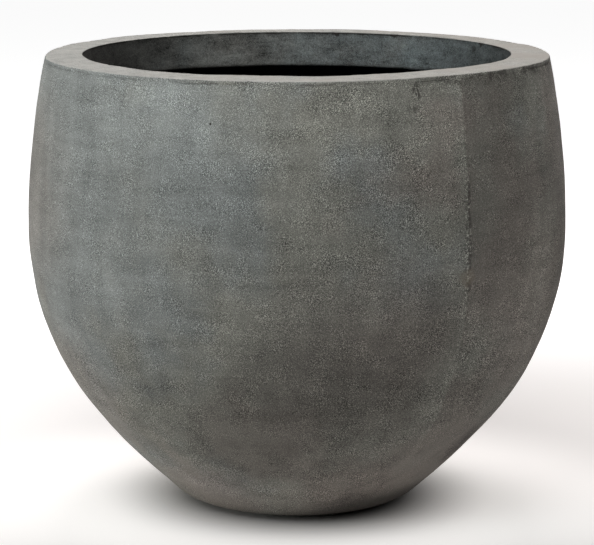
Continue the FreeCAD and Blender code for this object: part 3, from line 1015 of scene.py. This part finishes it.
def smudges_and_pit(spot, colour):
    """A colour with the two smudges under the rim, broken up by fibres, and the one deep pit."""
    tall = spot.moved(TALL_SMUDGE).stretched((1.0, 1.0, 0.5))
    wide = spot.moved(WIDE_SMUDGE).stretched((0.6, 0.6, 1.0))
    smudge = tall.far_from((0, 0, 0)).rise(0.008, 0.003)
    smudge = smudge + 0.7 * wide.far_from((0, 0, 0)).rise(0.007, 0.002)
    fibres = spot.stretched((1.0, 1.0, 0.5)).cloud(200.0, 3.0, 0.65).rise(0.44, 0.54)
    colour = mixed(smudge * fibres * 0.95, colour, DARK_CLAY)
    pit = spot.far_from(WALL_PIT).rise(0.0018, 0.0010)
    return mixed(pit, colour, SEALER)


def scuffs_and_foot_shade(spot, colour):
    """A colour with dark scuff marks under the rim and painted shade at the foot, both stronger to the right.
    """
    height_at = spot.part(2)
    to_right = spot.dot(RIGHTWARD).rise(0.10, 0.20)
    below_rim = WALL_TOP_Z + mouth_lift(spot) - height_at
    below_rim = below_rim + 0.012 * (spot.cloud(28.0, 4.0) - 0.5) - 0.004 * to_right
    scuff = spot.cloud(70.0, 6.0, 0.80) + 0.05 * to_right
    scuff = below_rim.rise(0.007, -0.002) * scuff.rise(0.48, 0.66)
    colour = mixed(scuff * (0.40 + 0.50 * to_right), colour, DARK_CLAY)
    # Painted shade: the foot is painted darker toward the floor as a contact shadow, more on the right.
    foot_right = spot.dot(RIGHTWARD).rise(-0.05, 0.10)
    foot = (height_at - 0.030 * foot_right + 0.010 * (spot.cloud(20.0, 4.0) - 0.5)).rise(0.020, -0.006)
    return mixed(foot * (0.20 + 0.60 * foot_right), colour, DARK_CLAY)


# %% Wall finishes
def wall_finish(name, warmth):
    """Clouded clay with its marks, with painted light and painted shade. It is rougher low down and at the
    far right, where it was never worked smooth.
    """
    material, shader, spot = new_finish(name)
    colour, fine, sand = clay_colour(spot, warmth, LIGHT_SHADE_AND_TINT_CLOUDS)
    colour, painted_top_light = painted_light_shade_and_dust(spot, colour)
    colour, line = seam_marks(spot, colour, painted_top_light)
    pits = pits_in(spot, 95.0, 0.02) + 0.6 * pits_in(spot, 210.0, 0.06)
    colour = mixed(pits * 0.5, colour, DARK_CLAY)
    colour = smudges_and_pit(spot, colour)
    colour = scuffs_and_foot_shade(spot, colour)
    height_at = spot.part(2)
    unrubbed = height_at.rise(*UNRUBBED_Z)
    unrubbed = unrubbed + spot.dot(RIGHTWARD).rise(0.24, 0.32) * height_at.rise(*UNRUBBED_RIGHT_Z)
    roughness = 0.62 + 0.22 * spot.cloud(24.0, 4.0) + 0.08 * fine + 0.20 * unrubbed
    relief = 0.2 * fine + 0.4 * sand - 1.2 * pits - 0.8 * line + 0.3 * spot.cloud(130.0, 1.0)
    finish_with(shader, colour, roughness, relief, 0.00045)
    shader.inputs["Specular IOR Level"].default_value = CLAY_SHINE
    return material


left_clay = wall_finish("left_wall_clay", 0.06)
right_clay = wall_finish("right_wall_clay", 0.14)
print("wall finishes:", left_clay.name, right_clay.name)

# %% [markdown]
# ## Rim clay
# The top of the rim is painted paler than the wall, right up to its edges: painted light, as the top is lit
# from above.
# The skirt inside was never rubbed, so it stays blue-grey with darker stains, and it is painted darker toward
# both ends as shade.
# The sealing coat has crept up to its upper edge in a broken dark line. The ring could take three materials,
# but one that asks how far each place lies from the axis and below the top lets the faces run into each
# other.

# %% Painted light on the top of the rim
rim_clay, rim_shader, spot = new_finish("rim_clay_painted_top_light")
colour, fine, sand = clay_colour(spot, 0.05)
height_at = spot.part(2) - mouth_lift(spot)
round_ring = spot.stretched((1.0, 1.0, 0.0))
from_axis = round_ring.far_from((0, 0, 0))
top_at = RIM_Z - (RIM_FALL / RIM_WIDTH) * (from_axis - MOUTH_R)
ragged = 0.0030 * (spot.cloud(120.0, 4.0, 0.65) - 0.32) * from_axis.rise(RIM_R - 0.008, RIM_R)
on_top = (top_at - height_at + ragged).rise(0.0016, 0.0007)
inside = from_axis.rise(MOUTH_R + 0.004, MOUTH_R + 0.0005)
outside = from_axis.rise(RIM_R - 0.004, RIM_R - 0.0012)
# Painted light: the outer lip is painted lighter, as the top of the wall below it is.
colour = colour.toned(1.0 + 0.33 * outside)
mottle = 0.9 * (spot.cloud(30.0, 5.0, 0.65) - 0.5) + 0.8 * (spot.cloud(85.0, 4.0, 0.65) - 0.5)
# Painted light: the top face is mixed toward a pale clay, as lit from above, broken up by a mottle and the
# grain.
painted_top_light = on_top * (0.67 + mottle + 0.8 * (sand - 0.5))
colour = mixed(painted_top_light, colour, PAINTED_TOP_LIGHT_CLAY)
to_right = spot.dot(RIGHTWARD)
browned = (spot.cloud(14.0, 5.0, 0.65) + 0.5 * to_right).rise(0.46, 0.74)
colour = mixed(browned * on_top * 0.75, colour, RIM_BROWN)
print("rubbed from", round(MOUTH_R, 3), "to", round(RIM_R, 3), "m from the axis")

# %% Skirt inside the mouth
skirt_face = inside * (1 - on_top)
smoke = spot.stretched((1.0, 1.0, 2.0)).cloud(22.0, 5.0, 0.65)
smears = spot.stretched((1.0, 1.0, 2.6)).cloud(48.0, 4.0, 0.65)
skirt_tint = mixed((spot.cloud(13.0, 4.0, 0.6) + 1.4 * to_right).rise(0.20, 0.80), SKIRT_BROWN, SKIRT_BLUE)
skirt_tone_and_shade = 1.0 + 2.2 * (smoke - 0.5) + 1.6 * (smears - 0.5) + 0.9 * (fine - 0.5) + 1.6 * (sand - 0.5)
# Painted shade: the skirt is painted darker toward its left and right ends.
skirt_tone_and_shade = skirt_tone_and_shade * (1.14 - 0.70 * to_right.rise(-0.09, -0.24) - 0.60 * to_right.rise(0.14, 0.26))
colour = mixed(skirt_face * 0.9, colour, skirt_tint.toned(skirt_tone_and_shade))
stains = smears.rise(0.56, 0.70) * smoke.rise(0.52, 0.40)
low_edge = (height_at - skirt_low_z + 0.008 * (spot.cloud(40.0, 4.0) - 0.5)).rise(0.0070, 0.0030)
colour = mixed(skirt_face * (0.55 * stains + 0.35 * low_edge), colour, DARK_CLAY)
below_top = RIM_Z - height_at + 0.004 * (spot.cloud(70.0, 4.0) - 0.5)
crept = 0.35 * below_top.rise(0.0070, 0.0020) + 0.65 * below_top.rise(0.0036, 0.0018)
crept = crept * skirt_face * round_ring.cloud(9.0, 5.0, 0.65).rise(0.34, 0.52)
colour = mixed(crept * 0.90, colour, SEALER)
print("skirt is stained down to", round(skirt_low_z, 3), "m")

# %% Nicks, scuffs and bond line
torn = 0.009 * (spot.cloud(160.0, 3.0, 0.65) - 0.5)
for nick in lifted(np.array(nick_centres)):
    hollow = (spot.far_from(nick) + torn).rise(0.0075, 0.0045)
    colour = mixed(hollow * (0.25 + 0.65 * skirt_face), colour, SEALER)
blots = np.array([on_ring(MOUTH_R, RIM_Z - 0.022, 180 - 47.0), on_ring(MOUTH_R, RIM_Z - 0.010, 180 - 59.6)])
for blot in lifted(blots):
    colour = mixed((spot.far_from(blot) + torn).rise(0.0055, 0.0025) * 0.4, colour, SEALER)
scratch = round_ring.cloud(260.0, 3.0, 0.7).rise(0.66, 0.76) * on_top
colour = mixed(scratch * 0.20, colour, DARK_CLAY)
lip_scuff = outside * (1 - on_top) * to_right.rise(0.13, 0.20)
lip_scuff = lip_scuff * spot.cloud(70.0, 6.0, 0.80).rise(0.42, 0.58)
colour = mixed(lip_scuff * 0.80, colour, DARK_CLAY)
bond_line = (height_at - WALL_TOP_Z).rise(0.0026, 0.0008) * outside
bond_line = bond_line * round_ring.cloud(24.0, 5.0, 0.70).rise(0.48, 0.60)
colour = mixed(bond_line * 0.60, colour, DARK_CLAY)
pits = pits_in(spot, 120.0, 0.04)
colour = mixed(pits * 0.45, colour, DARK_CLAY)
roughness = 0.60 + 0.22 * spot.cloud(30.0, 4.0) + 0.08 * fine
relief = 0.5 * fine + 0.4 * sand - 1.2 * pits + 0.8 * spot.cloud(150.0, 3.0)
finish_with(rim_shader, colour, roughness, relief, 0.0004)
rim_shader.inputs["Specular IOR Level"].default_value = CLAY_SHINE
print("rim finish:", rim_clay.name)

# %% [markdown]
# ## Black waterproof coat
# A cachepot is painted inside with a black sealing coat. The brush leaves drawn-out ridges,
# the fibre mat below shows through as a fine crossing pattern, and the coat is shinier where it lies thick.

# %% Coat inside
THIN_COAT = (0.020, 0.020, 0.019, 1.0)
THICK_COAT = (0.0085, 0.0085, 0.0088, 1.0)
COAT_DUST = (0.085, 0.080, 0.072, 1.0)
inside_coat, coat_shader, spot = new_finish("inside_coat")
brush = spot.stretched((1.0, 1.0, 4.0)).cloud(30.0, 5.0, 0.65)
one_way = spot.stretched((5.0, 1.0, 1.0)).cloud(45.0, 3.0, 0.6)
other_way = spot.stretched((1.0, 5.0, 1.4)).cloud(45.0, 3.0, 0.6)
mat = one_way * other_way
drips = spot.stretched((1.0, 1.0, 0.12)).cloud(40.0, 3.0, 0.5).rise(0.55, 0.75)
thick = 0.6 * brush + 0.4 * drips
coat_colour = mixed(thick.rise(0.25, 0.75), THIN_COAT, THICK_COAT)
dust = spot.cloud(11.0, 5.0, 0.6).rise(0.52, 0.80) * spot.part(2).rise(0.16, 0.01)
coat_colour = mixed(dust * 0.5, coat_colour, COAT_DUST)
coat_rough = 0.72 - 0.28 * thick + 0.20 * dust
finish_with(coat_shader, coat_colour, coat_rough, brush + 1.4 * mat + 0.6 * drips, 0.0011)
print("inside finish:", inside_coat.name)

# %% [markdown]
# ## Glass-cloth strips
# The cloth's weave runs along and across the strip, so it is drawn on the strip's own UV map, in metres:
# two sets of ridges that take turns on top. Resin fills it unevenly and the black coat covers most of it.

# %% Strip finish
YARN = 0.0052
RESIN = (0.012, 0.012, 0.012, 1.0)
COATED_CLOTH = (0.050, 0.050, 0.046, 1.0)
BARE_CLOTH = (0.105, 0.105, 0.090, 1.0)
strip_laminate, strip_shader, spot = new_finish("strip_laminate")
tree = strip_shader.id_data
lay = Paint(tree, tree.nodes.new("ShaderNodeUVMap").outputs["UV"])
along = (lay.part(1) + 0.0012 * (spot.cloud(40.0) - 0.5)) * (2 * math.pi / YARN)
across = (lay.part(0) + 0.0012 * (spot.cloud(35.0) - 0.5)) * (2 * math.pi / YARN)
warp = across.maths("SINE", across, 0.0)
weft = along.maths("SINE", along, 0.0)
weave = 0.5 + 0.5 * (warp * weft)
filled = spot.cloud(16.0, 4.0, 0.6).rise(0.40, 0.68)
strip_colour = mixed(weave * (1 - filled), RESIN, COATED_CLOTH)
bare = spot.cloud(22.0, 5.0, 0.65).rise(0.60, 0.74)
strip_colour = mixed(bare * 0.5, strip_colour, BARE_CLOTH)
strip_rough = 0.38 + 0.30 * spot.cloud(50.0, 4.0) - 0.10 * filled
finish_with(strip_shader, strip_colour, strip_rough, weave * (1.0 - 0.7 * filled) + 0.5 * filled, 0.0009)
print("strip finish:", strip_laminate.name)

# %% [markdown]
# ## Rubber
# The plug and the pads are black rubber with a fine moulded grain. Handling leaves a grey bloom,
# strongest on the pads, which stand on the floor. Two calls of one function keep them the same rubber.

# %% Rubber finishes
BLACK_RUBBER = (0.016, 0.016, 0.017, 1.0)
GREY_BLOOM = (0.085, 0.083, 0.080, 1.0)


def rubber_finish(name, bloom):
    """Black rubber with a fine grain and worn patches that are grey by the share bloom."""
    material, shader, spot = new_finish(name)
    fine = spot.cloud(900.0, 3.0, 0.6)
    worn = spot.cloud(110.0, 4.0, 0.6).rise(0.42, 0.72)
    colour = mixed(worn * bloom, BLACK_RUBBER, GREY_BLOOM)
    finish_with(shader, colour, 0.55 + 0.25 * worn, fine, 0.00012)
    return material


plug_rubber = rubber_finish("plug_rubber_bloom", 0.35)
pad_rubber = rubber_finish("pad_rubber_bloom", 0.7)

# %% Finishes on the pieces
for piece, finishes in (
    (left_wall, (left_clay, inside_coat)),
    (right_wall, (right_clay, inside_coat)),
    (rim, (rim_clay,)),
    (base, (inside_coat,)),
    (front_strip, (strip_laminate,)),
    (back_strip, (strip_laminate,)),
    (plug, (plug_rubber,)),
    (pads, (pad_rubber,)),
):
    for finish in finishes:
        piece.data.materials.append(finish)
    print(piece.name, [finish.name for finish in finishes])

# %% [markdown]
# ## Floor, light and camera
# The floor is a wide pale sheet that glows softly away from the pot, so that it runs out to white as a studio
# floor does. Broad lights stand high in front, low on the left and high behind, and a weak one behind
# on the right keeps that side from going black. A world texture would light the pot evenly
# from everywhere and hide its form.

# %% Floor
FLOOR_SIZE = 40.0
# Distances in metres between which the glow grows: behind the pot, then away from its axis.
GLOW_BEHIND = 0.4, 1.6
GLOW_FAR, GLOW_NEAR, GLOW_CLOSE, GLOW_UNDER = (2.6, 5.0), (1.8, 0.6), (0.5, 0.26), (0.12, 0.26)
WHITE_GLOW = (0.95, 0.95, 0.95, 1.0)
NO_GLOW = (0.0, 0.0, 0.0, 1.0)
WARM_GLOW = (1.0, 0.97, 0.94, 1.0)
bpy.ops.mesh.primitive_plane_add(size=FLOOR_SIZE, location=(0, 0, 0))
floor = bpy.context.object
floor.name = "floor"
floor_finish, floor_shader, spot = new_finish("pale_floor")
pale = mixed(spot.cloud(1.5, 3.0), (0.77, 0.77, 0.77, 1.0), (0.79, 0.79, 0.79, 1.0))
behind = spot.dot(-TOWARD).rise(*GLOW_BEHIND)
from_pot = spot.far_from((0, 0, 0))
to_right = spot.dot(RIGHTWARD)
beside = 0.26 * to_right.rise(-0.05, -0.55) + 0.16 * to_right.rise(0.05, 0.55)
level = 0.10 + (0.12 + beside) * from_pot.rise(*GLOW_NEAR) + 0.34 * from_pot.rise(*GLOW_CLOSE)
glow = mixed(level, NO_GLOW, WARM_GLOW)
glow = mixed(from_pot.rise(*GLOW_FAR), glow, WHITE_GLOW)
glow = mixed(behind, glow, WHITE_GLOW).toned(from_pot.rise(*GLOW_UNDER))
floor.data.materials.append(floor_finish)
floor_shader.id_data.links.new(pale.socket, floor_shader.inputs["Base Color"])
floor_shader.id_data.links.new(glow.socket, floor_shader.inputs["Emission Color"])
floor_shader.inputs["Roughness"].default_value = 0.9
floor_shader.inputs["Specular IOR Level"].default_value = 0.1
floor_shader.inputs["Emission Strength"].default_value = 1.0
print("floor runs out to white", GLOW_BEHIND[1], "m behind the pot")

# %% Lights
TARGET = Vector((0.0, 0.0, 0.30))
LIGHT_REACH = 3.2
# Each light: name, bearing right of the camera and elevation in degrees, side in metres, watts and colour.
SOFT_BOXES = (
    ("front_box", -30, 45, 1.6, 29.0, (0.96, 0.98, 1.0)),
    ("high_box", -5, 67, 1.6, 21.0, (1.0, 1.0, 0.97)),
    ("left_box", -75, 1.5, 0.7, 17.0, (0.97, 1.0, 0.94)),
    ("far_left_box", -100, 1.5, 0.7, 16.0, (1.0, 0.96, 0.93)),
    ("back_box", 180, 60, 1.6, 60.0, (1.0, 0.93, 0.92)),
    ("back_right_box", 150, 22, 1.2, 4.0, (1.0, 0.95, 0.93)),
)


def soft_box(name, bearing, elevation, size, power, colour):
    """A square area light that faces the target from LIGHT_REACH away."""
    light = bpy.data.lights.new(name, "AREA")
    light.size = size
    light.energy = power
    light.color = colour
    lamp = bpy.data.objects.new(name, light)
    rise = math.radians(elevation)
    aside = on_ring(LIGHT_REACH * math.cos(rise), LIGHT_REACH * math.sin(rise), bearing)
    lamp.location = TARGET + Vector(aside)
    lamp.rotation_euler = (TARGET - lamp.location).to_track_quat("-Z", "Y").to_euler()
    bpy.context.scene.collection.objects.link(lamp)


for light_row in SOFT_BOXES:
    soft_box(*light_row)
    print("light:", light_row[0], light_row[4], "W")
world = bpy.data.worlds.new("studio")
bpy.context.scene.world = world
world.use_nodes = True
world.node_tree.nodes["Background"].inputs["Color"].default_value = (1.0, 1.0, 1.0, 1.0)
world.node_tree.nodes["Background"].inputs["Strength"].default_value = 0.0
bpy.context.scene.view_settings.view_transform = "Standard"

# %% Camera
CAMERA_DISTANCE = 3.3202
CAMERA_HEIGHT = 0.9066 + FOOT_Z
CAMERA_PITCH = 0.1858
FOCAL_PIXELS = 2679.4
FRAME_PIXELS = 594
lens = bpy.data.cameras.new("view")
lens.sensor_width = 36.0
lens.lens = FOCAL_PIXELS * lens.sensor_width / FRAME_PIXELS
camera = bpy.data.objects.new("view", lens)
camera.location = Vector(place(CAMERA_DISTANCE, 0.0, CAMERA_HEIGHT))
camera.rotation_euler = (math.pi / 2 - CAMERA_PITCH, 0.0, VIEW_AZIMUTH)
bpy.context.scene.collection.objects.link(camera)
bpy.context.scene.camera = camera
print("lens", round(lens.lens, 1), "mm at", round(CAMERA_DISTANCE, 2), "m")
